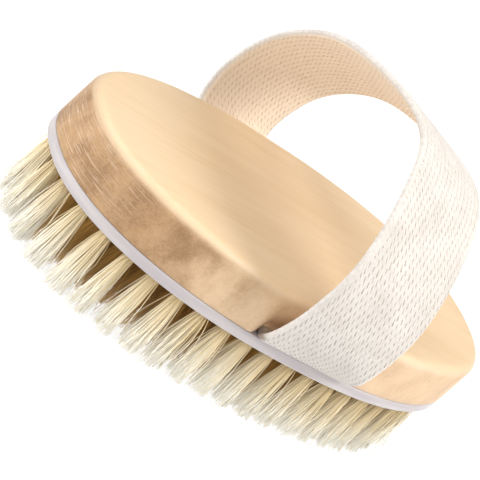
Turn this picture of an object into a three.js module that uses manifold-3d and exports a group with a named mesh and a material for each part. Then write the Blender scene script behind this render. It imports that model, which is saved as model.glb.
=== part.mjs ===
// Body dry brush: an oval beech back, a plastic plate set with bristle tufts under it, and a cotton
// webbing hand strap whose two ends are held between the back and the plate.
// Millimetres, +Z up, +X along the length. The origin is on the middle tuft's tip, so the trimmed
// bristle tips lie in the plane z = 0. The front of the brush is its -Y side.
import * as THREE from "three";
import { mergeVertices } from "three/addons/utils/BufferGeometryUtils.js";
import Module from "manifold-3d";

const wasm = await Module();
wasm.setup();

// ---- Driving dimensions ----

// The oval seen from above is a superellipse, a little fuller than an ellipse.
const bodyLength = 135;
const bodyWidth = 69.5;
const outlinePower = 2.25;
const outlineSteps = 80;

// Gap left between pieces that touch, and the part's smallest clearance.
const contactGap = 0.3;

// How far a cutter runs past the face that it starts from.
const cutMargin = 1;

// Bristle tufts, drilled in oval rings, the outermost first, and in a short row along the middle.
const bristleLength = 19.5;
const ringTuftCounts = [43, 32, 28, 22];
const ringInset = 4;
const outerTipLean = 1;
const middleTuftCount = 5;
const middleTuftPitch = 7.8;
const tuftRootRadius = 1.9;
const tuftHoleDepth = 2;
const tuftTipGap = 0.5;
const tuftTipOverlap = 0.3;
const outerTuftSides = 8;
const innerTuftSides = 6;
// Where the oval turns, its rings come closer together, down to this share of their spacing.
const closestRingShare = 0.9;

// Plate that the tufts are set in.
const plateThickness = 2.9;
const plateEdgeBreak = 0.4;

// Wooden back.
const woodThickness = 13.1;
const woodTopRound = 2.9;
const woodBottomBreak = 0.5;
const woodWallInset = 0.4;
const roundSteps = 4;

// Scoop in each long side of the wood, where the strap comes out. It fades out towards the top.
const scoopDepth = 2.5;
const scoopTopDepth = 0.4;
const scoopSideClearance = 0.7;
const scoopFlare = 3.5;
const scoopRollOverlap = 1;
const scoopRollSteps = 8;

// Cotton webbing strap.
const strapWidth = 30;
const strapThickness = 2;
const strapTailLength = 16;
const strapRise = 50.7;
const strapLean = THREE.MathUtils.degToRad(13);
const strapTwist = THREE.MathUtils.degToRad(9);
const strapTwistPower = 1.6;
const strapBulge = 13;
const strapLeanHeight = 10;
const strapSteps = 64;
const strapSplitOverhang = 3.2;

// Staples that hold the strap's ends to the wood.
const stapleCrown = 10;
const stapleWire = 0.5;
const stapleWireWidth = 1;
const stapleLeg = 7;
const stapleSpacing = 15;

// Panel pins that hold the plate to the wood.
const pinHeadRadius = 1.3;
const pinHeadHeight = 0.6;
const pinShankRadius = 0.6;
const pinLength = 11;
const pinCount = 4;
const pinSides = 8;

// ---- Derived places ----

const plateBottom = bristleLength;
const plateTop = plateBottom + plateThickness;
const woodBottom = plateTop + contactGap;
const woodTop = woodBottom + woodThickness;
const tailBottom = woodBottom;
const tailMiddle = tailBottom + strapThickness / 2;
const tailTop = tailBottom + strapThickness;
const mouth = bodyWidth / 2 - scoopDepth;
const tailEnd = mouth - strapTailLength;
const splitPlane = bodyWidth / 2 + strapSplitOverhang;
const strapReach = mouth + strapBulge;
const slotWidth = strapWidth + 2 * scoopSideClearance;
const ringSpacing = (bodyWidth / 2 - ringInset) / ringTuftCounts.length;
const tuftTipHalf = (ringSpacing * closestRingShare - tuftTipGap) / 2;
const tuftHoleRadius = (tuftRootRadius + contactGap) / Math.cos(Math.PI / innerTuftSides);

// ---- Geometry helpers ----

// A closed skin through rings of points that each turn left about the direction of travel.
function loft(rings) {
  const sides = rings[0].length;
  const last = rings.length - 1;
  const positions = rings.flat().flatMap((point) => point.toArray());
  const middleOf = (ring) =>
    ring.reduce((sum, point) => sum.add(point), new THREE.Vector3()).divideScalar(sides);
  positions.push(...middleOf(rings[0]).toArray(), ...middleOf(rings[last]).toArray());
  const startMiddle = rings.length * sides;
  const endMiddle = startMiddle + 1;
  const faces = [];
  for (let side = 0; side < sides; side += 1) {
    const next = (side + 1) % sides;
    for (let ring = 0; ring < last; ring += 1) {
      const low = ring * sides;
      const high = low + sides;
      faces.push(low + side, low + next, high + next, low + side, high + next, high + side);
    }
    faces.push(startMiddle, next, side);
    faces.push(endMiddle, last * sides + side, last * sides + next);
  }
  const geometry = new THREE.BufferGeometry();
  geometry.setAttribute("position", new THREE.Float32BufferAttribute(positions, 3));
  geometry.setIndex(faces);
  return geometry;
}

function solidFrom(geometry) {
  const bare = geometry.clone();
  bare.deleteAttribute("normal");
  bare.deleteAttribute("uv");
  const merged = mergeVertices(bare, 1e-4);
  return new wasm.Manifold(
    new wasm.Mesh({
      numProp: 3,
      vertProperties: merged.getAttribute("position").array,
      triVerts: new Uint32Array(merged.getIndex().array),
    }),
  );
}

function geometryFrom(solid) {
  const mesh = solid.getMesh();
  const geometry = new THREE.BufferGeometry();
  geometry.setAttribute("position", new THREE.BufferAttribute(mesh.vertProperties, 3));
  geometry.setIndex(new THREE.BufferAttribute(mesh.triVerts, 1));
  geometry.computeVertexNormals();
  return geometry;
}

function cutAll(solid, cutters) {
  return cutters.reduce((rest, cutter) => rest.subtract(cutter), solid);
}

function joinAll(solids) {
  return solids.reduce((joined, solid) => joined.add(solid));
}

function boxSolid(low, high) {
  const size = high.clone().sub(low);
  const box = new THREE.BoxGeometry(size.x, size.y, size.z);
  const middle = low.clone().add(high).multiplyScalar(0.5);
  box.translate(middle.x, middle.y, middle.z);
  return solidFrom(box);
}

// A turned shape about a vertical axis, from a profile of [radius, height] pairs, lowest first.
function turned(profile, sides, x, y) {
  const points = profile.map(([radius, height]) => new THREE.Vector2(radius, height));
  const lathe = new THREE.LatheGeometry(points, sides);
  lathe.rotateX(Math.PI / 2);
  lathe.translate(x, y, 0);
  return lathe;
}

// ---- Oval outline ----

function outlinePoint(angle, inset) {
  const power = 2 / outlinePower;
  const along = Math.cos(angle);
  const across = Math.sin(angle);
  return new THREE.Vector2(
    (bodyLength / 2 - inset) * Math.sign(along) * Math.abs(along) ** power,
    (bodyWidth / 2 - inset) * Math.sign(across) * Math.abs(across) ** power,
  );
}

function outlineRing({ inset, z }) {
  return Array.from({ length: outlineSteps }, (_, step) => {
    const point = outlinePoint((2 * Math.PI * step) / outlineSteps, inset);
    return new THREE.Vector3(point.x, point.y, z);
  });
}

// Evenly spaced places around the oval, each with its outward direction.
function placesAround(inset, count) {
  const fineSteps = 1440;
  const points = Array.from({ length: fineSteps + 1 }, (_, step) =>
    outlinePoint((2 * Math.PI * step) / fineSteps, inset),
  );
  const lengths = [0];
  for (let step = 1; step <= fineSteps; step += 1) {
    lengths.push(lengths[step - 1] + points[step].distanceTo(points[step - 1]));
  }
  const pitch = lengths[fineSteps] / count;
  const places = Array.from({ length: count }, (_, index) => {
    const step = Math.max(1, lengths.findIndex((length) => length >= (index + 0.5) * pitch));
    const forward = points[step].clone().sub(points[step - 1]).normalize();
    return { at: points[step], outward: new THREE.Vector2(forward.y, -forward.x) };
  });
  return { places, pitch };
}

// ---- Bristle tufts ----

const tuftRings = ringTuftCounts.map((count, index) =>
  placesAround(ringInset + index * ringSpacing, count),
);

function middleRow() {
  const alongRow = new THREE.Vector2(0, 1);
  const places = Array.from({ length: middleTuftCount }, (_, index) => {
    const x = (index - (middleTuftCount - 1) / 2) * middleTuftPitch;
    return { at: new THREE.Vector2(x, 0), outward: alongRow };
  });
  return { places, pitch: middleTuftPitch };
}

const middleTufts = middleRow();

// One tuft: a flare up from the flat trimmed tip to the root, and a stub inside its hole.
function tuft({ at, outward }, tipAcross, lean, sides) {
  const sideways = new THREE.Vector2(-outward.y, outward.x);
  const ringAt = (z, out, across, shift) =>
    Array.from({ length: sides }, (_, side) => {
      const angle = (2 * Math.PI * side) / sides;
      const point = at
        .clone()
        .addScaledVector(outward, shift + out * Math.cos(angle))
        .addScaledVector(sideways, across * Math.sin(angle));
      return new THREE.Vector3(point.x, point.y, z);
    });
  return loft([
    ringAt(0, tuftTipHalf, tipAcross, lean),
    ringAt(plateBottom, tuftRootRadius, tuftRootRadius, 0),
    ringAt(plateBottom + tuftHoleDepth - contactGap, tuftRootRadius, tuftRootRadius, 0),
  ]);
}

function outerTuft(place) {
  const tipAcross = (tuftRings[0].pitch - tuftTipGap) / 2;
  return tuft(place, tipAcross, outerTipLean, outerTuftSides);
}

// Inside the outer ring the tips of neighbouring tufts run into each other, so a ring is one body.
function joinedTufts({ places, pitch }) {
  const flatToCorner = Math.cos(Math.PI / innerTuftSides);
  const tipAcross = (pitch / 2 + tuftTipOverlap) / flatToCorner;
  return geometryFrom(joinAll(places.map((place) => solidFrom(tuft(place, tipAcross, 0, innerTuftSides)))));
}

function tuftHoles() {
  const places = [...tuftRings, middleTufts].flatMap((group) => group.places);
  const profile = [
    [0, plateBottom - cutMargin],
    [tuftHoleRadius, plateBottom - cutMargin],
    [tuftHoleRadius, plateBottom + tuftHoleDepth],
    [0, plateBottom + tuftHoleDepth],
  ];
  return places.map(({ at }) => solidFrom(turned(profile, innerTuftSides, at.x, at.y)));
}

// ---- Panel pins ----

// The pins stand midway between the two outer rings, where both rings have a gap between tufts.
const pinPlaces = placesAround(ringInset + ringSpacing / 2, pinCount).places.map(({ at }) => at);

function pinProfile(grow) {
  const top = plateBottom + pinLength;
  return [
    [0, plateBottom - grow],
    [pinHeadRadius + grow, plateBottom - grow],
    [pinHeadRadius + grow, plateBottom + pinHeadHeight + grow],
    [pinShankRadius + grow, plateBottom + pinHeadHeight + grow],
    [pinShankRadius + grow, top - 2 * pinShankRadius + grow],
    [0, top + grow],
  ];
}

const pinHoles = pinPlaces.map((at) =>
  solidFrom(turned(pinProfile(contactGap), pinSides, at.x, at.y)),
);

// ---- Staples ----

// A staple seen from the front: a crown under the webbing and two legs up into the wood.
function stapleGeometry(x, y, grow) {
  const half = stapleCrown / 2;
  const low = tailBottom - grow;
  const crownTop = tailBottom + stapleWire + grow;
  const legTop = tailBottom + stapleLeg + grow;
  const outer = half + grow;
  const inner = half - stapleWireWidth - grow;
  const shape = new THREE.Shape();
  shape.moveTo(-outer, low);
  shape.lineTo(outer, low);
  shape.lineTo(outer, legTop);
  shape.lineTo(inner, legTop);
  shape.lineTo(inner, crownTop);
  shape.lineTo(-inner, crownTop);
  shape.lineTo(-inner, legTop);
  shape.lineTo(-outer, legTop);
  const depth = stapleWireWidth + 2 * grow;
  const staple = new THREE.ExtrudeGeometry(shape, { depth, bevelEnabled: false });
  staple.rotateX(Math.PI / 2);
  staple.translate(x, y + depth / 2, 0);
  return staple;
}

function staplePlaces(side) {
  const y = side * (tailEnd + strapTailLength / 2);
  return [-1, 1].map((end) => new THREE.Vector2((end * stapleSpacing) / 2, y));
}

const stapleHoles = [-1, 1].flatMap((side) =>
  staplePlaces(side).map((at) => solidFrom(stapleGeometry(at.x, at.y, contactGap))),
);

// ---- Wooden back and plate ----

// A scoop seen from above at one height: straight along the slot, with a soft roll out to the
// wall at each end. side is -1 for the front and 1 for the back.
function scoopRing({ depth, z }, side) {
  const wall = bodyWidth / 2;
  const rollStart = slotWidth / 2 - scoopRollOverlap;
  const rollLength = scoopFlare + scoopRollOverlap;
  const edge = [];
  for (let step = 0; step <= scoopRollSteps; step += 1) {
    const share = step / scoopRollSteps;
    const rise = THREE.MathUtils.smoothstep(share, 0, 1);
    edge.push(new THREE.Vector2(rollStart + rollLength * share, wall - depth * (1 - rise)));
  }
  edge.push(new THREE.Vector2(rollStart + rollLength, wall + scoopDepth));
  const mirrored = edge.map(({ x, y }) => new THREE.Vector2(-x, y)).reverse();
  return [...mirrored, ...edge].map(({ x, y }) => new THREE.Vector3(side * x, side * y, z));
}

function scoop(side) {
  const levels = [
    { depth: scoopDepth, z: woodBottom - cutMargin },
    { depth: scoopTopDepth, z: woodTop + cutMargin },
  ];
  return solidFrom(loft(levels.map((level) => scoopRing(level, side))));
}

// The pocket under the wood that a strap end lies in.
function strapPocket(side) {
  const inner = side * (tailEnd - contactGap);
  const outer = side * (bodyWidth / 2 + cutMargin);
  return boxSolid(
    new THREE.Vector3(-slotWidth / 2, Math.min(inner, outer), woodBottom - cutMargin),
    new THREE.Vector3(slotWidth / 2, Math.max(inner, outer), tailTop + contactGap),
  );
}

function woodBack() {
  const levels = [
    { inset: woodBottomBreak, z: woodBottom },
    { inset: 0, z: woodBottom + woodBottomBreak },
  ];
  for (let step = 0; step <= roundSteps; step += 1) {
    const angle = (Math.PI / 2) * (step / roundSteps);
    levels.push({
      inset: woodWallInset + woodTopRound * (1 - Math.cos(angle)),
      z: woodTop - woodTopRound * (1 - Math.sin(angle)),
    });
  }
  const blank = solidFrom(loft(levels.map(outlineRing)));
  const cutters = [-1, 1].flatMap((side) => [scoop(side), strapPocket(side)]);
  return geometryFrom(cutAll(blank, [...cutters, ...stapleHoles, ...pinHoles]));
}

function bristlePlate() {
  const levels = [
    { inset: plateEdgeBreak, z: plateBottom },
    { inset: 0, z: plateBottom + plateEdgeBreak },
    { inset: 0, z: plateTop - plateEdgeBreak },
    { inset: plateEdgeBreak, z: plateTop },
  ];
  const blank = solidFrom(loft(levels.map(outlineRing)));
  return geometryFrom(cutAll(blank, [...tuftHoles(), ...pinHoles]));
}

// ---- Hand strap ----

// The strap's middle line, from the end held at the front to the end held at the back.
// Heights are shares of the rise above the tails, and reaches are measured out from a mouth.
function strapLine() {
  const at = (x, y, share) => new THREE.Vector3(x, y, tailMiddle + share * strapRise);
  return new THREE.CatmullRomCurve3([
    at(0, -tailEnd, 0),
    at(0, -mouth, 0),
    at(0, -(mouth + 1), 0),
    at(-1.6, -(mouth + 5.4), 0.06),
    at(-4.2, -(mouth + 9.8), 0.22),
    at(-3.8, -(mouth + 9), 0.51),
    at(-0.7, -(mouth - 1.6), 0.81),
    at(4.8, -mouth * 0.4, 0.99),
    at(2.8, mouth * 0.29, 0.97),
    at(-0.8, mouth - 1.4, 0.82),
    at(-2.9, mouth + 12.4, 0.51),
    at(-4.4, strapReach, 0.17),
    at(-1.8, mouth + 6.4, 0.04),
    at(0, mouth + 1, 0),
    at(0, mouth, 0),
    at(0, tailEnd, 0),
  ], false, "centripetal");
}

// The webbing lies flat in its pockets. Once it has risen clear of them it leans towards +X,
// and it twists about the vertical more and more towards the back.
function strapRing(line, share) {
  const middle = line.getPointAt(share);
  const travel = line.getTangentAt(share);
  const rise = THREE.MathUtils.smoothstep(middle.z - tailMiddle, 0, strapLeanHeight);
  const lean = strapLean * rise;
  const towardsBack = THREE.MathUtils.clamp(0.5 + middle.y / (2 * strapReach), 0, 1);
  const twist = strapTwist * towardsBack ** strapTwistPower * rise;
  const across = new THREE.Vector3(
    Math.cos(lean) * Math.cos(twist),
    Math.cos(lean) * Math.sin(twist),
    -Math.sin(lean),
  );
  const normal = new THREE.Vector3().crossVectors(travel, across).normalize();
  const corner = (side, face) =>
    middle
      .clone()
      .addScaledVector(across, (side * strapWidth) / 2)
      .addScaledVector(normal, (face * strapThickness) / 2);
  return [corner(-1, -1), corner(1, -1), corner(1, 1), corner(-1, 1)];
}

function wholeStrap() {
  const line = strapLine();
  const rings = [];
  for (let step = 0; step <= strapSteps; step += 1) {
    rings.push(strapRing(line, step / strapSteps));
  }
  return solidFrom(loft(rings));
}

const strap = wholeStrap();

// A block over one side's tail, out to a plane that faces the mouth, so the loop can lean past it.
function tailBlock(side, grow) {
  const outer = side * (splitPlane + grow);
  return boxSolid(
    new THREE.Vector3(-strapWidth, Math.min(0, outer), plateBottom),
    new THREE.Vector3(strapWidth, Math.max(0, outer), woodTop - cutMargin),
  );
}

function strapTail(side) {
  const ownStaples = stapleHoles.slice(side < 0 ? 0 : 2, side < 0 ? 2 : 4);
  return geometryFrom(cutAll(strap.intersect(tailBlock(side, 0)), ownStaples));
}

function strapLoop() {
  return geometryFrom(cutAll(strap, [tailBlock(-1, contactGap), tailBlock(1, contactGap)]));
}

// ---- Materials and assembly ----

const wood = () => new THREE.MeshStandardMaterial({ color: 0xe9c490, roughness: 0.5, metalness: 0 });
const plastic = () => new THREE.MeshStandardMaterial({ color: 0xe4e1ea, roughness: 0.4, metalness: 0 });
const cotton = () => new THREE.MeshStandardMaterial({ color: 0xf2ebe0, roughness: 0.95, metalness: 0 });
const bristle = () => new THREE.MeshStandardMaterial({ color: 0xe3d6ac, roughness: 0.6, metalness: 0 });
const steel = () => new THREE.MeshStandardMaterial({ color: 0xb9bbbe, roughness: 0.3, metalness: 1 });

const brush = new THREE.Group();

function addPiece(name, geometry, material) {
  const mesh = new THREE.Mesh(geometry, material);
  mesh.name = name;
  brush.add(mesh);
}

addPiece("wood_back", woodBack(), wood());
addPiece("bristle_plate", bristlePlate(), plastic());
addPiece("strap_loop", strapLoop(), cotton());

for (const [side, sideName] of [[-1, "front"], [1, "back"]]) {
  addPiece(`strap_tail_${sideName}`, strapTail(side), cotton());
  staplePlaces(side).forEach((at, index) => {
    addPiece(`strap_staple_${sideName}_${index + 1}`, stapleGeometry(at.x, at.y, 0), steel());
  });
}

pinPlaces.forEach((at, index) => {
  addPiece(`plate_pin_${index + 1}`, turned(pinProfile(0), pinSides, at.x, at.y), steel());
});

const [outerRing, ...innerRings] = tuftRings;
outerRing.places.forEach((place, index) => {
  addPiece(`outer_tuft_${String(index + 1).padStart(2, "0")}`, outerTuft(place), bristle());
});
innerRings.forEach((group, index) => {
  addPiece(`tuft_ring_${index + 2}`, joinedTufts(group), bristle());
});
addPiece("tuft_row_middle", joinedTufts(middleTufts), bristle());

export default brush;
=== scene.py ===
"""Body dry brush: a beech back, a milky plate set with bristle tufts, and a cotton webbing hand strap."""

import math

import bpy
import numpy as np
from mathutils import Matrix, Vector


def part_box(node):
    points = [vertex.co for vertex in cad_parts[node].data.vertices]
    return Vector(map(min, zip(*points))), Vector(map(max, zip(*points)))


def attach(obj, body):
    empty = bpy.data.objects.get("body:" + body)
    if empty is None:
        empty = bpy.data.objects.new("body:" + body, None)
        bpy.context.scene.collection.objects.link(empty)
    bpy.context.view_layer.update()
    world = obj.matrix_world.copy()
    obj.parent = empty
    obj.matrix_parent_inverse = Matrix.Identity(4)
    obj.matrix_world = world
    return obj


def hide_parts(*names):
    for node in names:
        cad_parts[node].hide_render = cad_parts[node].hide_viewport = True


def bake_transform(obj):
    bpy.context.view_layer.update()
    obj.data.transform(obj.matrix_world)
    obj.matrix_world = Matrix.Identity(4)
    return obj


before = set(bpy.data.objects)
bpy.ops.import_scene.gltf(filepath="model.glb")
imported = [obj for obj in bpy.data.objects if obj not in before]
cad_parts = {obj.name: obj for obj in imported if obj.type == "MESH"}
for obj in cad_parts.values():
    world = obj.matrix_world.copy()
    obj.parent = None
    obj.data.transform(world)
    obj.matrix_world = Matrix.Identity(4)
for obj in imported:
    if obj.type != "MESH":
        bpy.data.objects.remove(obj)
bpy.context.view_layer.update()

MM = 0.001
chance = np.random.default_rng(41)

# ---- Sizes, in millimetres ----

plate_low, plate_high = (np.array(corner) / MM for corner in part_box("bristle_plate"))
wood_low, wood_high = (np.array(corner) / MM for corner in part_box("wood_back"))
half_length = (plate_high[0] - plate_low[0]) / 2
half_width = (plate_high[1] - plate_low[1]) / 2
plate_bottom, plate_top = plate_low[2], plate_high[2]
wood_bottom, wood_top = wood_low[2], wood_high[2]

OUTLINE_POWER = 2.25
OUTLINE_STEPS = 960
PLATE_EDGE = 0.3
WOOD_TOP_ROUND = 2.9
WOOD_BOTTOM_BREAK = 0.3
BREAK_MIDDLE = 0.3  # a share of the break
SEAM_CLOSED = 0.25
WOOD_WALL_INSET = 0.4
TOP_FLAT_INSET = 3
ROUND_STEPS = 12
PLATE_ROUND_STEPS = 4

STRAP_WIDTH = 30.0
STRAP_THICKNESS = 2.0
STRAP_TAIL = 16.0
STRAP_RISE = 50.7
STRAP_LEAN = math.radians(13)
STRAP_LEAN_HEIGHT = 10.0
STRAP_TWIST = math.radians(9)
STRAP_TWIST_POWER = 1.6
STRAP_BULGE = 13.0
SCOOP_DEPTH = 2.5
SCOOP_TOP_DEPTH = 0.4
SCOOP_CLEARANCE = 0.7
SCOOP_FLARE = 3.5
SCOOP_RUN_IN = 1  # how far inside the slot's edge the scoop reaches its full depth
SCOOP_SOFTNESS = 0.9
SCOOP_TOP_ROUND = 0.6
LEAST_SCOOP = 0.01  # less than this leaves the oval as it is
POCKET_CLEARANCE = 0.3
CUT_MARGIN = 1

RING_TUFTS = (43, 32, 28, 22)
RING_INSET = 4.0
MIDDLE_TUFTS = 5
MIDDLE_PITCH = 7.8
OUTER_ROOT = 1.25
INNER_ROOT = 1.9
TUFT_GAP = 0.5
CLOSEST_RING_SHARE = 0.9

mouth = half_width - SCOOP_DEPTH
tail_end = mouth - STRAP_TAIL
tail_middle = wood_bottom + STRAP_THICKNESS / 2
strap_reach = mouth + STRAP_BULGE
slot_half = STRAP_WIDTH / 2 + SCOOP_CLEARANCE
ring_spacing = (half_width - RING_INSET) / len(RING_TUFTS)
tuft_half = (ring_spacing * CLOSEST_RING_SHARE - TUFT_GAP) / 2


def smoothstep(value, low, high):
    """A soft rise from 0 at low to 1 at high."""
    share = np.clip((value - low) / (high - low), 0, 1)
    return share * share * (3 - 2 * share)


# ---- Camera and light ----

CAMERA_PLACE = Vector((-252.867, -277.435, 171.085)) * MM
CAMERA_AZIMUTH = math.radians(-41.154)
CAMERA_ELEVATION = math.radians(21.828)
CAMERA_ROLL = math.radians(47.891)
CAMERA_LENS = 123.93
SENSOR = 36.0
NEAREST_SEEN = 0.01
FURTHEST_SEEN = 20

DAYLIGHT = (1, 0.985, 0.96, 1)
DAYLIGHT_STRENGTH = 0.48
LAMP_DISTANCE = 0.9
LAMPS = {
    "key": dict(direction=(0.52, -0.48, 0.76), size=0.45, watts=6.9, colour=(1, 0.975, 0.94)),
    "top": dict(direction=(-0.5, 0.3, 1.0), size=0.8, watts=4.2, colour=(1, 0.98, 0.95)),
    "side": dict(direction=(-1.0, -0.1, 0.1), size=0.6, watts=5.0, colour=(1, 0.99, 0.97)),
    "fill": dict(direction=(-0.5, -0.72, 0.5), size=0.5, watts=1.5, colour=(1, 0.975, 0.95)),
    "end": dict(direction=(1.0, -0.55, 0.1), size=0.5, watts=1.2, colour=(1, 0.985, 0.96)),
}


def make_camera():
    """The camera, aimed by its azimuth and elevation and then rolled about its line of sight."""
    data = bpy.data.cameras.new("camera")
    data.lens = CAMERA_LENS
    data.sensor_width = SENSOR
    data.clip_start = NEAREST_SEEN
    data.clip_end = FURTHEST_SEEN
    back = Vector((
        math.sin(CAMERA_AZIMUTH) * math.cos(CAMERA_ELEVATION),
        -math.cos(CAMERA_AZIMUTH) * math.cos(CAMERA_ELEVATION),
        math.sin(CAMERA_ELEVATION),
    ))
    right = (-back).cross(Vector((0, 0, 1))).normalized()
    up = right.cross(-back)
    turned_right = math.cos(CAMERA_ROLL) * right + math.sin(CAMERA_ROLL) * up
    turned_up = math.cos(CAMERA_ROLL) * up - math.sin(CAMERA_ROLL) * right
    camera = bpy.data.objects.new("camera", data)
    axes = Matrix((turned_right, turned_up, back)).transposed()
    camera.matrix_world = Matrix.Translation(CAMERA_PLACE) @ axes.to_4x4()
    bpy.context.scene.collection.objects.link(camera)
    bpy.context.scene.camera = camera


def make_lamp(name, direction, size, watts, colour):
    """A round soft lamp that shines at the middle of the brush."""
    data = bpy.data.lights.new(name, "AREA")
    data.shape = "DISK"
    data.size = size
    data.energy = watts
    data.color = colour
    lamp = bpy.data.objects.new(name, data)
    aim = Vector((0, 0, (wood_top + plate_bottom) / 2 * MM))
    lamp.location = aim + Vector(direction).normalized() * LAMP_DISTANCE
    lamp.rotation_euler = (lamp.location - aim).to_track_quat("Z", "Y").to_euler()
    bpy.context.scene.collection.objects.link(lamp)


def make_studio():
    """Even daylight all round, and the lamps."""
    scene = bpy.context.scene
    scene.view_settings.view_transform = "Standard"
    world = bpy.data.worlds.new("studio")
    world.use_nodes = True
    background = world.node_tree.nodes["Background"]
    background.inputs["Color"].default_value = DAYLIGHT
    background.inputs["Strength"].default_value = DAYLIGHT_STRENGTH
    scene.world = world
    for name, lamp in LAMPS.items():
        make_lamp(name, **lamp)


# ---- Shader writing ----


class Signal:
    """A shader socket that Python's operators work on, by adding Math nodes."""

    def __init__(self, finish, socket):
        self.finish = finish
        self.socket = socket

    def math(self, operation, *values):
        inputs = dict(enumerate((self, *values)))
        return self.finish.node("ShaderNodeMath", {"operation": operation}, inputs)

    def __add__(self, other):
        return self.math("ADD", other)

    def __sub__(self, other):
        return self.math("SUBTRACT", other)

    def __rsub__(self, other):
        return (self * -1).math("ADD", other)

    def __mul__(self, other):
        return self.math("MULTIPLY", other)

    def __abs__(self):
        return self.math("ABSOLUTE")

    __radd__ = __add__
    __rmul__ = __mul__

    def smooth(self, low, high):
        """A soft rise from 0 where the value is low to 1 where it is high."""
        settings = {"interpolation_type": "SMOOTHSTEP"}
        inputs = {"Value": self, "From Min": low, "From Max": high}
        return self.finish.node("ShaderNodeMapRange", settings, inputs)

    def stretched(self, scales):
        """A vector multiplied by one scale for each axis."""
        return self.finish.node("ShaderNodeVectorMath", {"operation": "MULTIPLY"}, {0: self, 1: scales})


class Finish:
    """A named material: its plain sockets are given when it is made, and its nodes are added after."""

    def __init__(self, name, **constants):
        self.material = bpy.data.materials.new(name)
        self.material.use_nodes = True
        self.tree = self.material.node_tree
        self.shader = self.tree.nodes["Principled BSDF"]
        for socket, value in constants.items():
            self.shader.inputs[socket.replace("_", " ")].default_value = value

    def node(self, kind, settings=None, inputs=None, output=0):
        made = self.tree.nodes.new(kind)
        for name, value in (settings or {}).items():
            if name == "stops":
                self.set_stops(made.color_ramp, value)
            else:
                setattr(made, name, value)
        for name, value in (inputs or {}).items():
            if isinstance(value, Signal):
                self.tree.links.new(value.socket, made.inputs[name])
            else:
                made.inputs[name].default_value = value
        return Signal(self, made.outputs[output])

    @staticmethod
    def set_stops(ramp, stops):
        while len(ramp.elements) < len(stops):
            ramp.elements.new(0.5)
        for element, (place, colour) in zip(ramp.elements, stops):
            element.position = place
            element.color = (*colour, 1)

    def attribute(self, name):
        """A value that make_mesh has written on the points."""
        return self.node("ShaderNodeAttribute", {"attribute_name": name}, output="Fac")

    def place(self):
        """The object's own coordinates, in millimetres."""
        at = self.node("ShaderNodeTexCoord", output="Object")
        return at.stretched((1 / MM,) * 3)

    def noise(self, vector, scale, detail=2.0, roughness=0.5):
        """Soft noise, where scale is how many of its lumps fit in a millimetre, or that for each axis."""
        if isinstance(scale, tuple):
            vector = vector.stretched(scale)
            scale = 1
        inputs = {"Vector": vector, "Scale": scale, "Detail": detail, "Roughness": roughness}
        return self.node("ShaderNodeTexNoise", None, inputs)

    def mix(self, low, high, factor):
        """The colour low where factor is 0, and the colour high where it is 1."""
        low, high = (colour if isinstance(colour, Signal) else (*colour, 1) for colour in (low, high))
        return self.node("ShaderNodeMix", {"data_type": "RGBA"}, {0: factor, 6: low, 7: high}, 2)

    def set(self, **sockets):
        """Links signals to the shader's own sockets."""
        for name, signal in sockets.items():
            self.tree.links.new(signal.socket, self.shader.inputs[name.replace("_", " ")])

    def bump(self, height, depth, strength=1.0):
        """Relief that stands depth millimetres proud where height is 1."""
        inputs = {"Height": height, "Distance": depth * MM, "Strength": strength}
        self.set(Normal=self.node("ShaderNodeBump", None, inputs))


# ---- Finishes ----

HEART_END = -54
SAP_START = -20
HEART_WANDER = 20
END_WALL_FADE = 4

TOP_HONEY = (0.62, 0.44, 0.255)
TOP_PALE = (0.695, 0.53, 0.345)
HEART_DARK = (0.24, 0.125, 0.05)
HEART_LIGHT = (0.45, 0.275, 0.135)
SAP_DARK = (0.52, 0.345, 0.20)
SAP_LIGHT = (0.67, 0.485, 0.315)
CUTTER_LINE = (0.72, 0.56, 0.43)
EDGE_HIGHLIGHT = (0.70, 0.55, 0.39)
SCOOP_SHADOW = (0.20, 0.075, 0.02)


def beech_wall(finish, at, flecks, mottle):
    """The wall's colour, from mottled heartwood with pale cutter lines at one end to sapwood."""
    cloud = mottle * 0.55 + flecks * 0.45
    heart = finish.mix(HEART_DARK, HEART_LIGHT, cloud.smooth(0.33, 0.64))
    sap = finish.mix(SAP_DARK, SAP_LIGHT, cloud.smooth(0.30, 0.64))
    along = finish.node("ShaderNodeSeparateXYZ", None, {0: at}) + (mottle - 0.5) * HEART_WANDER
    colour = finish.mix(heart, sap, along.smooth(HEART_END, SAP_START))
    cutter_lines = finish.noise(at, (0.12, 0.12, 3.2), 3, 0.7).smooth(0.5, 0.68)
    end_wall = 1 - along.smooth(-half_length, HEART_END + END_WALL_FADE)
    return finish.mix(colour, CUTTER_LINE, cutter_lines * end_wall * 0.55)


def beech():
    """Pale waxed beech: golden on top with long faint grain, and warmer and mottled round the wall, with a
    painted highlight along the rounded top edge and painted shade in the scoops.
    """
    finish = Finish("beech", Coat_Weight=0.12, Coat_Roughness=0.35)
    at = finish.place()
    top = finish.attribute("top")
    drift = finish.noise(at, (0.012, 0.05, 0.05))
    grain = finish.noise(at, (0.035, 0.55, 0.55), 4, 0.6)
    streak = finish.noise(at, (0.09, 2.4, 2.4), 3, 0.6)
    flecks = finish.noise(at, (1.2, 1.2, 3.6), 4, 0.8)
    mottle = finish.noise(at, (0.13, 0.13, 0.1), 3, 0.6)
    figure = grain * 0.35 + streak * 0.15 + drift * 0.5
    top_colour = finish.mix(TOP_HONEY, TOP_PALE, figure.smooth(0.32, 0.66))
    wall_colour = beech_wall(finish, at, flecks, mottle)
    colour = finish.mix(wall_colour, top_colour, top.smooth(0.25, 0.95))
    # painted highlight: a pale band along the rounded top edge, where the light catches it
    colour = finish.mix(colour, EDGE_HIGHLIGHT, finish.attribute("edge") * 0.4)
    colour = finish.mix(colour, SCOOP_SHADOW, finish.attribute("shade") * 0.75)
    finish.set(Base_Color=colour, Roughness=0.36 + 0.2 * (1 - top) + 0.1 * flecks)
    finish.bump(streak * 0.6 + flecks * 0.4, 0.035)
    return finish.material


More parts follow.
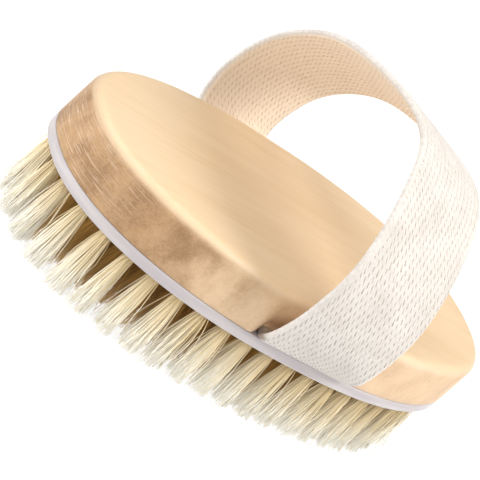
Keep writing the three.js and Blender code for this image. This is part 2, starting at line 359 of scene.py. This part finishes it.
PLATE_DARK = (0.43, 0.395, 0.405)
PLATE_LIGHT = (0.52, 0.485, 0.49)
PLATE_GLOW_DEPTH = (1.2 * MM, 1.1 * MM, 1.3 * MM)


def milky_plastic():
    """Smooth moulded plate, slightly lavender, with faint flow marks."""
    finish = Finish("milky_plastic", Subsurface_Weight=0.15, Coat_Weight=0.1)
    finish.shader.inputs["Subsurface Radius"].default_value = PLATE_GLOW_DEPTH
    finish.shader.inputs["Subsurface Scale"].default_value = 1
    at = finish.place()
    flow = finish.noise(at, (0.05, 0.05, 0.5), 3)
    speckle = finish.noise(at, 2.5)
    colour = finish.mix(PLATE_DARK, PLATE_LIGHT, flow.smooth(0.3, 0.7))
    finish.set(Base_Color=colour, Roughness=0.34 + 0.16 * speckle)
    finish.bump(speckle * 0.5 + flow * 0.5, 0.015)
    return finish.material


COLUMN = 0.9
GRAIN = 3.1
SLANT = 0.55
YARN_RELIEF = 0.2
YARN_WANDER = 0.7
YARN_WOBBLE = 2.2
INNER_FACE_SHIFT = 40
SELVEDGE_START = 0.9
SELVEDGE_FULL = 0.3
TUCK_LOW = 1.2
TUCK_HIGH = 3

COTTON_GREY = (0.53, 0.49, 0.455)
COTTON_PALE = (0.65, 0.615, 0.58)
COTTON_CREST = (0.74, 0.715, 0.685)
INNER_WOOD_BOUNCE = (0.84, 0.71, 0.565)
HOLLOW_OUTER = (0.38, 0.31, 0.25)
HOLLOW_INNER = (0.60, 0.43, 0.28)
TUCK_SHADOW = (0.16, 0.10, 0.06)
SEED_SPECK = (0.30, 0.22, 0.16)


def webbing_yarns(finish, at, across, along, inner, wobble):
    """Where the webbing has gaps between its yarns, and where their crests are."""
    wander = finish.noise(at, 0.35) - 0.5
    slanted = across + along * SLANT * (1 - 2 * inner.math("GREATER_THAN", 0.5))
    column = (slanted + wander * YARN_WANDER) * (1 / COLUMN)
    beside = abs(column.math("FRACT") - 0.5)
    stagger = (column.math("FLOOR") * 0.5).math("FRACT")
    row = (along + wobble * YARN_WOBBLE) * (1 / GRAIN) + stagger
    dash = (1 - abs(row.math("FRACT") * 2 - 1)).smooth(0.5, 0.9)
    groove = 1 - beside.smooth(0.04, 0.40)
    return groove * (0.05 + 0.95 * dash), beside.smooth(0.3, 0.5) * dash


def cotton():
    """Natural cotton webbing: staggered rice-grain yarns with small painted grey-beige shadows between them,
    painted highlights on the outer face's yarn crests, painted shade and wood-warm light over the inner
    face, and painted shadow low down where it tucks under the wood.
    """
    finish = Finish("cotton_webbing", Roughness=0.92, Sheen_Weight=0.25, Sheen_Roughness=0.5)
    across = finish.attribute("across")
    along = finish.attribute("along")
    inner = finish.attribute("inner")
    at = finish.node("ShaderNodeCombineXYZ", None, {0: across, 1: along, 2: inner * INNER_FACE_SHIFT})
    wobble = finish.noise(at, 0.9) - 0.5
    gap, crest = webbing_yarns(finish, at, across, along, inner, wobble)
    selvedge = abs(across).smooth(STRAP_WIDTH / 2 - SELVEDGE_START, STRAP_WIDTH / 2 - SELVEDGE_FULL)
    gap = gap * (1 - selvedge)
    fibre = finish.noise(at, (3.5, 0.9, 1), 4, 0.65)
    patch = finish.noise(at, 0.12, 3)
    cream = finish.mix(COTTON_GREY, COTTON_PALE, (fibre * 0.6 + patch * 0.4).smooth(0.35, 0.65))
    # painted light: the inner face is coloured peach-tan for the shade under the loop and the warm light the
    # wood throws onto it
    cream = finish.mix(cream, INNER_WOOD_BOUNCE, inner * 0.95)
    # painted highlight on the outer face's yarn crests
    cream = finish.mix(cream, COTTON_CREST, crest * (1 - inner) * 0.55)
    hollow = finish.mix(HOLLOW_OUTER, HOLLOW_INNER, inner)
    # painted shade in the gaps between the yarns
    colour = finish.mix(cream, hollow, gap * (0.66 + wobble * 1.8).math("MINIMUM", 1.0))
    height = finish.node("ShaderNodeSeparateXYZ", None, {0: finish.place()}, 2)
    low = 1 - height.smooth(wood_bottom + TUCK_LOW, wood_bottom + TUCK_HIGH)
    tucked = low * (inner + selvedge).math("MINIMUM", 1.0)
    colour = finish.mix(colour, TUCK_SHADOW, tucked * 0.8)
    speck = finish.noise(at, 1.1, 1).smooth(0.80, 0.84)
    colour = finish.mix(colour, SEED_SPECK, speck * 0.6)
    finish.set(Base_Color=colour)
    finish.bump((1 - gap) * 0.7 + fibre * 0.3, YARN_RELIEF, 0.8)
    return finish.material


DARKEST_HAIR = (0.12, 0.075, 0.04)
DARK_HAIR = (0.16, 0.11, 0.065)
TIP_HIGHLIGHT = (0.99, 0.97, 0.90)
OUTER_BRISTLE = dict(
    root_shade=(0.72, 0.55, 0.285),
    tip_low=(0.88, 0.76, 0.50),
    tip_high=(0.99, 0.95, 0.83),
    paling=(-0.1, 0.75),
    whitening=0.9,
)
# painted shade: the inner rings' hairs are coloured darker and browner than the outer ring's, for the shade
# they stand in among the tufts
INNER_BRISTLE = dict(
    root_shade=(0.50, 0.28, 0.08),
    tip_low=(0.64, 0.44, 0.16),
    tip_high=(0.84, 0.70, 0.41),
    paling=(0.4, 1.4),
    whitening=0.1,
)


def bristle(name, root_shade, tip_low, tip_high, paling, whitening):
    """Natural bristle: pale hairs and a few dark ones, with painted shade making them browner by the plate,
    a painted highlight whitening the tips, and a faint painted glow.
    """
    # a faint painted glow: the hairs give off light in their own colour, standing in for light passing
    # through them
    finish = Finish(name, Specular_IOR_Level=0.15, Emission_Strength=0.04)
    tone = finish.attribute("tone")
    reach = finish.attribute("reach")
    tip_middle = tuple(0.5 * (low + high) for low, high in zip(tip_low, tip_high))
    stops = [(0.0, DARKEST_HAIR), (0.025, DARK_HAIR), (0.06, tip_low), (0.55, tip_middle), (1.0, tip_high)]
    hair = finish.node("ShaderNodeValToRGB", {"stops": stops}, {"Fac": tone})
    # painted shade: hairs take the darker root colour near the plate, down among the tufts
    colour = finish.mix(root_shade, hair, reach.smooth(*paling))
    band = finish.noise(finish.place(), 0.9)
    # painted highlight: tips whitened where the light catches them, strongly on the outer ring
    whitened = reach.smooth(0.45, 0.95) * band.smooth(0.2, 0.6) * whitening
    colour = finish.mix(colour, TIP_HIGHLIGHT, whitened)
    finish.set(Base_Color=colour, Emission_Color=colour, Roughness=0.5 + 0.25 * band)
    return finish.material


STEEL_DARK = (0.42, 0.42, 0.43)
STEEL_BRIGHT = (0.66, 0.66, 0.67)


def steel():
    """Drawn steel wire with fine scratches."""
    finish = Finish("drawn_steel", Metallic=1.0)
    at = finish.place()
    scratch = finish.noise(at, (0.6, 6.0, 0.6), 3)
    cloud = finish.noise(at, 0.7)
    colour = finish.mix(STEEL_DARK, STEEL_BRIGHT, cloud.smooth(0.3, 0.7))
    finish.set(Base_Color=colour, Roughness=0.22 + 0.25 * scratch)
    finish.bump(scratch, 0.01)
    return finish.material


FLOOR_GREY = (0.25, 0.25, 0.25, 1)
FLOOR_GLOW = 0.85
WHITE = (1, 1, 1, 1)


def paper():
    """Matt studio paper, lit from within so that it stays white."""
    finish = Finish("pale_floor", Base_Color=FLOOR_GREY, Roughness=1.0, Emission_Strength=FLOOR_GLOW)
    finish.shader.inputs["Emission Color"].default_value = WHITE
    finish.shader.inputs["Specular IOR Level"].default_value = 0
    return finish.material


# ---- Mesh writing ----


def make_mesh(name, points, faces, material, attributes=None, sharp_angle=None):
    """A mesh object from points in millimetres, with named values on its points."""
    mesh = bpy.data.meshes.new(name)
    mesh.from_pydata((np.asarray(points) * MM).tolist(), [], faces)
    for title, values in (attributes or {}).items():
        layer = mesh.attributes.new(title, "FLOAT", "POINT")
        layer.data.foreach_set("value", np.asarray(values, np.float32).ravel())
    mesh.materials.append(material)
    mesh.shade_smooth()
    if sharp_angle is not None:
        mesh.set_sharp_from_angle(angle=math.radians(sharp_angle))
    piece = bpy.data.objects.new(name, mesh)
    bpy.context.scene.collection.objects.link(piece)
    return piece


def tube_faces(rings, sides):
    """Quads between closed rings of points, and a cap on each end ring."""
    faces = []
    for ring in range(rings - 1):
        low = ring * sides
        for side in range(sides):
            after = (side + 1) % sides
            faces.append((low + side, low + after, low + sides + after, low + sides + side))
    faces.append(tuple(reversed(range(sides))))
    faces.append(tuple(range((rings - 1) * sides, rings * sides)))
    return faces


# ---- Oval outline ----

PITCH_STEPS = 1440


def outline(inset, steps=OUTLINE_STEPS):
    """The brush's oval, drawn in by inset, as points along x and y."""
    angle = 2 * math.pi * np.arange(steps) / steps
    along, across = np.cos(angle), np.sin(angle)
    power = 2 / OUTLINE_POWER
    x = (half_length - inset) * np.sign(along) * np.abs(along) ** power
    y = (half_width - inset) * np.sign(across) * np.abs(across) ** power
    return np.stack([x, y], 1)


def places_around(inset, count):
    """Evenly spaced places round the oval, each with its outward direction, and their pitch."""
    points = outline(inset, PITCH_STEPS)
    points = np.vstack([points, points[:1]])
    steps = np.linalg.norm(np.diff(points, axis=0), axis=1)
    lengths = np.concatenate([[0], np.cumsum(steps)])
    pitch = lengths[-1] / count
    places = []
    for index in range(count):
        step = max(1, int(np.searchsorted(lengths, (index + 0.5) * pitch)))
        forward = points[step] - points[step - 1]
        forward = forward / np.linalg.norm(forward)
        places.append((points[step], np.array([forward[1], -forward[0]])))
    return places, pitch


# ---- Wooden back and plate ----

EDGE_RISE = 0.62  # how far up the rounding the painted edge highlight is brightest
EDGE_SPREAD = 0.28
SHADE_START = 0.2  # the depth of scoop where its shade starts
SHADE_FULL_SHARE = 0.6
SHADE_FADE = 2  # how far above the wood's bottom the shade starts to fade
WOOD_SHARP_ANGLE = 40
PLATE_SHARP_ANGLE = 40


def scoop_limit(x, z):
    """How far out the wood may reach at x and height z, where the scoops take it away."""
    share = smoothstep(slot_half + SCOOP_FLARE - np.abs(x), 0, SCOOP_FLARE + SCOOP_RUN_IN)
    rise = (z - wood_bottom) / (wood_top - wood_bottom)
    return half_width - share * (SCOOP_DEPTH + (SCOOP_TOP_DEPTH - SCOOP_DEPTH) * rise)


def soft_minimum(first, second, softness):
    """The smaller of two values, with a rounded turn where they meet."""
    blend = np.clip(0.5 + 0.5 * (second - first) / softness, 0, 1)
    return second * (1 - blend) + first * blend - softness * blend * (1 - blend)


def wood_levels():
    """The wood's inset and height at each level, from the seam, up the wall and over the rounded top."""
    wall_top = wood_top - WOOD_TOP_ROUND
    seam = wood_bottom - SEAM_CLOSED
    low = seam + WOOD_BOTTOM_BREAK
    levels = [
        (WOOD_BOTTOM_BREAK, seam),
        (WOOD_BOTTOM_BREAK * BREAK_MIDDLE, seam + WOOD_BOTTOM_BREAK * BREAK_MIDDLE),
        (0.0, low),
    ]
    for share in (0.2, 0.4, 0.6, 0.8):
        levels.append((WOOD_WALL_INSET * share, low + (wall_top - low) * share))
    for step in range(ROUND_STEPS + 1):
        angle = math.pi / 2 * step / ROUND_STEPS
        inset = WOOD_WALL_INSET + WOOD_TOP_ROUND * (1 - math.cos(angle))
        levels.append((inset, wall_top + WOOD_TOP_ROUND * math.sin(angle)))
    levels.append((WOOD_WALL_INSET + WOOD_TOP_ROUND + TOP_FLAT_INSET, wood_top))
    return levels


def wood_ring(inset, z):
    """One level's points, and the top, edge and shade values that the finish reads."""
    ring = outline(inset)
    limit = scoop_limit(ring[:, 0], z) - SCOOP_TOP_ROUND * inset
    reach = soft_minimum(np.abs(ring[:, 1]), limit, SCOOP_SOFTNESS)
    lost = np.abs(ring[:, 1]) - reach
    y = np.where(lost > LEAST_SCOOP, np.sign(ring[:, 1]) * reach, ring[:, 1])
    points = np.stack([ring[:, 0], y, np.full(len(ring), z)], 1)
    rise = (z - (wood_top - WOOD_TOP_ROUND)) / WOOD_TOP_ROUND
    top = np.full(len(ring), np.clip(rise, 0, 1))
    edge = np.full(len(ring), math.exp(-(((rise - EDGE_RISE) / EDGE_SPREAD) ** 2)))
    depth = smoothstep(lost, SHADE_START, SCOOP_DEPTH * SHADE_FULL_SHARE)
    shade = depth * (1 - smoothstep(z, wood_bottom + SHADE_FADE, wood_top))
    return points, top, edge, shade


def cut_box(piece, low, high):
    """Takes a box of space out of a piece."""
    corners = [(x, y, z) for x in (low[0], high[0]) for y in (low[1], high[1]) for z in (low[2], high[2])]
    faces = [(0, 1, 3, 2), (4, 6, 7, 5), (0, 4, 5, 1), (2, 3, 7, 6), (0, 2, 6, 4), (1, 5, 7, 3)]
    cutter = make_mesh("cutter", corners, faces, piece.data.materials[0])
    cut = piece.modifiers.new("cut", "BOOLEAN")
    cut.operation = "DIFFERENCE"
    cut.solver = "EXACT"
    cut.object = cutter
    bpy.context.view_layer.update()
    evaluated = piece.evaluated_get(bpy.context.evaluated_depsgraph_get())
    piece.data = bpy.data.meshes.new_from_object(evaluated)
    piece.modifiers.clear()
    bpy.data.objects.remove(cutter)


def cut_pocket(wood, side):
    """Cuts the pocket that holds the strap's flat end, at the front where side is -1."""
    reaches = sorted((side * (tail_end - POCKET_CLEARANCE), side * (half_width + CUT_MARGIN)))
    pocket_top = wood_bottom + STRAP_THICKNESS + POCKET_CLEARANCE
    low = (-slot_half, reaches[0], wood_bottom - CUT_MARGIN)
    cut_box(wood, low, (slot_half, reaches[1], pocket_top))


def make_wood(material):
    """The wooden back, with its scoops in its outline and its pockets cut out."""
    levels = [wood_ring(inset, z) for inset, z in wood_levels()]
    points, top, edge, shade = (np.concatenate(parts) for parts in zip(*levels))
    faces = tube_faces(len(levels), OUTLINE_STEPS)
    values = {"top": top, "edge": edge, "shade": shade}
    wood = make_mesh("beech_back", points, faces, material, values)
    for side in (-1, 1):
        cut_pocket(wood, side)
    wood.data.shade_smooth()
    wood.data.set_sharp_from_angle(angle=math.radians(WOOD_SHARP_ANGLE))
    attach(wood, "brush")
    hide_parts("wood_back")


def make_plate(material):
    """The bristle plate, with both of its edges rounded."""
    levels = []
    for step in range(PLATE_ROUND_STEPS + 1):
        angle = math.pi / 2 * step / PLATE_ROUND_STEPS
        inset = PLATE_EDGE * (1 - math.sin(angle))
        levels.append((inset, plate_bottom + PLATE_EDGE * (1 - math.cos(angle))))
    levels += [(inset, plate_bottom + plate_top - z) for inset, z in reversed(levels)]
    points = np.vstack([np.column_stack([outline(inset), np.full(OUTLINE_STEPS, z)]) for inset, z in levels])
    faces = tube_faces(len(levels), OUTLINE_STEPS)
    plate = make_mesh("milky_plate", points, faces, material, sharp_angle=PLATE_SHARP_ANGLE)
    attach(plate, "brush")
    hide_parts("bristle_plate")


# ---- Hand strap ----

MOUTH_DIP = -0.016
KNOT_STEPS = 80
SHORTEST_SPAN = 1e-4


def strap_knots():
    """The strap's middle line, from the end held at the front to the end held at the back."""

    def at(x, y, share):
        """A knot whose height is a share of the strap's rise."""
        return (x, y, tail_middle + share * STRAP_RISE)

    return np.array([
        at(0, -tail_end, 0),
        at(0, -mouth, 0),
        at(0, -(mouth + 1), MOUTH_DIP),
        at(-1.6, -(mouth + 5.4), 0.06),
        at(-4.2, -(mouth + 9.8), 0.22),
        at(-3.8, -(mouth + 9), 0.51),
        at(-0.7, -(mouth - 1.6), 0.81),
        at(4.8, -mouth * 0.4, 0.99),
        at(2.8, mouth * 0.29, 0.97),
        at(-0.8, mouth - 1.4, 0.82),
        at(-2.9, mouth + 12.4, 0.51),
        at(-4.4, strap_reach, 0.17),
        at(-1.8, mouth + 6.4, 0.04),
        at(0, mouth + 1, MOUTH_DIP),
        at(0, mouth, 0),
        at(0, tail_end, 0),
    ])


def centripetal(knots, steps):
    """A smooth line through the knots, close to a centripetal Catmull-Rom curve."""
    padded = np.vstack([2 * knots[0] - knots[1], knots, 2 * knots[-1] - knots[-2]])
    line = []
    for index in range(len(knots) - 1):
        before, start, end, after = padded[index:index + 4]
        first, second, third = (
            max(np.linalg.norm(far - near) ** 0.5, SHORTEST_SPAN)
            for near, far in ((before, start), (start, end), (end, after))
        )
        leaving = (start - before) / first - (end - before) / (first + second) + (end - start) / second
        arriving = (end - start) / second - (after - start) / (second + third) + (after - end) / third
        leaving, arriving = leaving * second, arriving * second
        share = (np.arange(steps) / steps)[:, None]
        square, cube = share ** 2, share ** 3
        line.append(
            (2 * cube - 3 * square + 1) * start + (cube - 2 * square + share) * leaving
            + (3 * square - 2 * cube) * end + (cube - square) * arriving
        )
    return np.vstack([*line, knots[-1:]])


COLUMN_STEPS = 3
GRAIN_STEPS = 7
DASH_START = 0.3
DASH_FULL = 0.8
GROOVE_HALF = 0.25
LEAST_GROOVE = 0.3
EDGE_ROUND = 0.9
EDGE_SLIMMING = 0.5
EDGE_TOOTH = 0.42


def weave_height(across, along, slant):
    """How proud the yarns stand at a place on the webbing, 1 on a yarn and less in the gaps."""
    column = (across + along * slant) / COLUMN
    beside = np.abs(np.mod(column, 1) - 0.5)
    row = along / GRAIN + 0.5 * np.mod(np.floor(column), 2)
    dash = smoothstep(1 - np.abs(2 * np.mod(row, 1) - 1), DASH_START, DASH_FULL)
    groove = 1 - smoothstep(beside, 0, GROOVE_HALF)
    return 1 - groove * (LEAST_GROOVE + (1 - LEAST_GROOVE) * dash)


def strap_steps():
    """Even steps along the strap's middle line: how far along each one is, and where it is."""
    fine = centripetal(strap_knots(), KNOT_STEPS)
    lengths = np.concatenate([[0], np.cumsum(np.linalg.norm(np.diff(fine, axis=0), axis=1))])
    count = int(lengths[-1] / GRAIN * GRAIN_STEPS)
    along = np.linspace(0, lengths[-1], count + 1)
    middle = np.stack([np.interp(along, lengths, fine[:, axis]) for axis in range(3)], 1)
    return along, middle


def strap_directions(middle):
    """The directions across the strap and into its arch, as it leans, and twists towards the back."""
    travel = np.gradient(middle, axis=0)
    travel /= np.linalg.norm(travel, axis=1)[:, None]
    rise = smoothstep(middle[:, 2] - tail_middle, 0, STRAP_LEAN_HEIGHT)
    lean = STRAP_LEAN * rise
    towards_back = np.clip(0.5 + middle[:, 1] / (2 * strap_reach), 0, 1)
    twist = STRAP_TWIST * towards_back ** STRAP_TWIST_POWER * rise
    sideways = np.stack([np.cos(lean) * np.cos(twist), np.cos(lean) * np.sin(twist), -np.sin(lean)], 1)
    inward = np.cross(travel, sideways)
    inward /= np.linalg.norm(inward, axis=1)[:, None]
    return sideways, inward


def make_strap(material):
    """One length of webbing: its two woven faces, joined along both selvedges."""
    along, middle = strap_steps()
    sideways, inward = strap_directions(middle)
    half = STRAP_WIDTH / 2
    columns = round(STRAP_WIDTH / COLUMN * COLUMN_STEPS)
    width = np.linspace(-half, half, columns + 1)
    slim = 1 - EDGE_SLIMMING * smoothstep(np.abs(width), half - EDGE_ROUND, half)
    tooth = EDGE_TOOTH * np.abs(np.sin(2 * math.pi * along / GRAIN))
    grid_across, grid_along = np.meshgrid(width, along)

    def woven_face(side, slant):
        """A grid of points over one face: side is -1 for the outer face and 1 for the inner."""
        relief = YARN_RELIEF * (weave_height(grid_across, grid_along, slant) - 1)
        lift = side * (STRAP_THICKNESS / 2 * slim[None, :] + relief)
        flat = middle[:, None] + sideways[:, None] * width[None, :, None]
        return flat + inward[:, None] * lift[..., None]

    def selvedge(side):
        """The line of toothed points along one edge."""
        return (middle + side * sideways * (half + tooth)[:, None])[:, None]

    outer = woven_face(-1, SLANT)
    inner = woven_face(1, -SLANT)[:, ::-1]
    rings = np.concatenate([outer, selvedge(1), inner, selvedge(-1)], axis=1)
    sides = rings.shape[1]
    ring_across = np.concatenate([width, [half], width[::-1], [-half]])
    # how much of the inner face's painted shade and wood-warm light each point takes, none at the selvedges
    inner_bounce_share = smoothstep(half - np.abs(width), 0, EDGE_ROUND)
    ring_inner = np.concatenate([np.zeros(columns + 1), [0], inner_bounce_share, [0]])
    values = {
        "across": np.tile(ring_across, len(along)),
        "along": np.repeat(along, sides),
        "inner": np.tile(ring_inner, len(along)),
    }
    faces = tube_faces(len(along), sides)
    strap = make_mesh("webbing_strap", rings.reshape(-1, 3), faces, material, values)
    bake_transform(strap)
    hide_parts("strap_loop", "strap_tail_front", "strap_tail_back")


# ---- Bristle tufts ----

OUTER_HAIRS = 210
INNER_HAIRS = 180
OUTER_CLUMPS = 12
INNER_CLUMPS = 10
ROW_CLUMPS = 5
OUTER_SPREAD = 0.34
OUTER_SPREAD_VARIES = 0.12
INNER_OVERLAP = 0.9

HAIR_STEPS = 4
HAIR_SIDES = 3
HAIR_ROOT_RADIUS = 0.13
HAIR_TIP_RADIUS = 0.075
HAIR_SPLAY_POWER = 1.3
HAIR_SWAY = 0.35
ROOT_DEPTH = 1.2
ROOT_FILL = 0.92

CLUMP_REACH = 0.9
LEAST_GATHER = 0.05
GATHER_VARIES = 0.4
TIP_SCATTER = 0.07
TRIM_HEIGHT = 0.1
TRIM_VARIES = 0.55
TRIM_MOST = 3.0
STRAY_SHARE = 0.1
STRAY_SPREAD = 1.6
STRAY_SWAY = 2.4


def disc(count):
    """Scattered points in a unit circle."""
    radius = np.sqrt(chance.random(count))
    angle = 2 * math.pi * chance.random(count)
    return np.stack([radius * np.cos(angle), radius * np.sin(angle)], 1)


def tuft_hairs(place, root_radius, tip_halves, count, clumps):
    """Root and tip points, sway and tone of one tuft's hairs, splayed into small clumps."""
    at, outward = place
    sideways = np.array([-outward[1], outward[0]])
    spread = disc(count)
    home = disc(clumps) * CLUMP_REACH
    nearest = np.argmin(np.linalg.norm(spread[:, None] - home[None], axis=2), axis=1)
    gather = LEAST_GATHER + GATHER_VARIES * chance.random(count)[:, None]
    tip = spread * (1 - gather) + home[nearest] * gather
    stray = chance.random(count) < STRAY_SHARE
    tip[stray] *= STRAY_SPREAD
    tip += chance.normal(0, TIP_SCATTER, tip.shape)
    root = spread * root_radius * ROOT_FILL
    root_xy = at + root[:, :1] * outward + root[:, 1:] * sideways
    tip_xy = at + tip[:, :1] * tip_halves[0] * outward + tip[:, 1:] * tip_halves[1] * sideways
    tip_z = TRIM_HEIGHT + np.minimum(chance.exponential(TRIM_VARIES, count), TRIM_MOST)
    roots = np.column_stack([root_xy, np.full(count, plate_bottom + ROOT_DEPTH)])
    tips = np.column_stack([tip_xy, tip_z])
    sway = chance.normal(0, HAIR_SWAY, (count, 2)) * np.where(stray, STRAY_SWAY, 1)[:, None]
    return roots, tips, sway, chance.random(count)


def hair_mesh(name, tufts, material):
    """One piece made of the hairs of one or more tufts."""
    roots, tips, sway, tone = (np.concatenate(parts) for parts in zip(*tufts))
    share = np.linspace(0, 1, HAIR_STEPS + 1)
    line = np.empty((len(roots), HAIR_STEPS + 1, 3))
    drift = (tips - roots)[:, None, :2] * (share ** HAIR_SPLAY_POWER)[None, :, None]
    line[..., :2] = roots[:, None, :2] + drift + sway[:, None] * np.sin(math.pi * share)[None, :, None]
    line[..., 2] = roots[:, None, 2] + (tips - roots)[:, None, 2] * share
    travel = tips - roots
    travel /= np.linalg.norm(travel, axis=1)[:, None]
    first = np.cross(travel, (1.0, 0.0, 0.0))
    first /= np.linalg.norm(first, axis=1)[:, None]
    second = np.cross(travel, first)
    radius = HAIR_ROOT_RADIUS + (HAIR_TIP_RADIUS - HAIR_ROOT_RADIUS) * share
    angle = 2 * math.pi * np.arange(HAIR_SIDES) / HAIR_SIDES
    offsets = (
        first[:, None, None] * np.cos(angle)[None, None, :, None]
        + second[:, None, None] * np.sin(angle)[None, None, :, None]
    ) * radius[None, :, None, None]
    points = (line[:, :, None] + offsets).reshape(-1, 3)
    one_hair = tube_faces(HAIR_STEPS + 1, HAIR_SIDES)
    stride = (HAIR_STEPS + 1) * HAIR_SIDES
    faces = [
        tuple(corner + hair * stride for corner in face)
        for hair in range(len(roots))
        for face in one_hair
    ]
    values = {
        "tone": np.repeat(tone, stride),
        "reach": np.tile(np.repeat(share, HAIR_SIDES), len(roots)),
    }
    return make_mesh(name, points, faces, material, values)


def finish_bristles(piece, node):
    """Puts a piece made of hairs on the brush, in place of its CAD node."""
    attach(piece, "brush")
    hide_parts(node)


def make_outer_tufts(material):
    """The outer ring, one piece for each tuft, each splayed along the ring by its own amount."""
    places, pitch = places_around(RING_INSET, RING_TUFTS[0])
    for index, place in enumerate(places):
        halves = (tuft_half, pitch * (OUTER_SPREAD + OUTER_SPREAD_VARIES * chance.random()))
        tuft = tuft_hairs(place, OUTER_ROOT, halves, OUTER_HAIRS, OUTER_CLUMPS)
        number = f"{index + 1:02d}"
        piece = hair_mesh(f"bristle_tuft_{number}", [tuft], material)
        finish_bristles(piece, f"outer_tuft_{number}")


def make_inner_rings(material):
    """The inner rings, one piece each, their tufts wide enough to run into each other."""
    for ring in range(1, len(RING_TUFTS)):
        places, pitch = places_around(RING_INSET + ring * ring_spacing, RING_TUFTS[ring])
        halves = (tuft_half + INNER_OVERLAP, pitch / 2 + INNER_OVERLAP)
        tufts = [tuft_hairs(place, INNER_ROOT, halves, INNER_HAIRS, INNER_CLUMPS) for place in places]
        finish_bristles(hair_mesh(f"bristle_ring_{ring + 1}", tufts, material), f"tuft_ring_{ring + 1}")


def make_middle_row(material):
    """The short straight row inside the smallest ring."""
    halves = (tuft_half, MIDDLE_PITCH / 2)
    row = []
    for index in range(MIDDLE_TUFTS):
        x = (index - (MIDDLE_TUFTS - 1) / 2) * MIDDLE_PITCH
        place = (np.array([x, 0.0]), np.array([0.0, 1.0]))
        row.append(tuft_hairs(place, INNER_ROOT, halves, INNER_HAIRS, ROW_CLUMPS))
    finish_bristles(hair_mesh("bristle_row_middle", row, material), "tuft_row_middle")


# ---- Steel fixings and floor ----

FLOOR_HALF = 3000.0


def refinish_fixings(material):
    """Gives the steel finish to the CAD model's own staples and pins, which no piece replaces."""
    for name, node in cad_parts.items():
        if name.startswith(("strap_staple_", "plate_pin_")):
            node.data.materials.clear()
            node.data.materials.append(material)


def make_floor():
    """The paper floor that the bristles stand on."""
    corners = [(x * FLOOR_HALF, y * FLOOR_HALF, 0) for x, y in ((-1, -1), (1, -1), (1, 1), (-1, 1))]
    make_mesh("floor", corners, [(0, 1, 2, 3)], paper())


make_camera()
make_studio()
make_floor()
make_wood(beech())
make_plate(milky_plastic())
make_strap(cotton())
outer_bristle = bristle("outer_bristle", **OUTER_BRISTLE)
inner_bristle = bristle("inner_bristle", **INNER_BRISTLE)
make_outer_tufts(outer_bristle)
make_inner_rings(inner_bristle)
make_middle_row(inner_bristle)
refinish_fixings(steel())
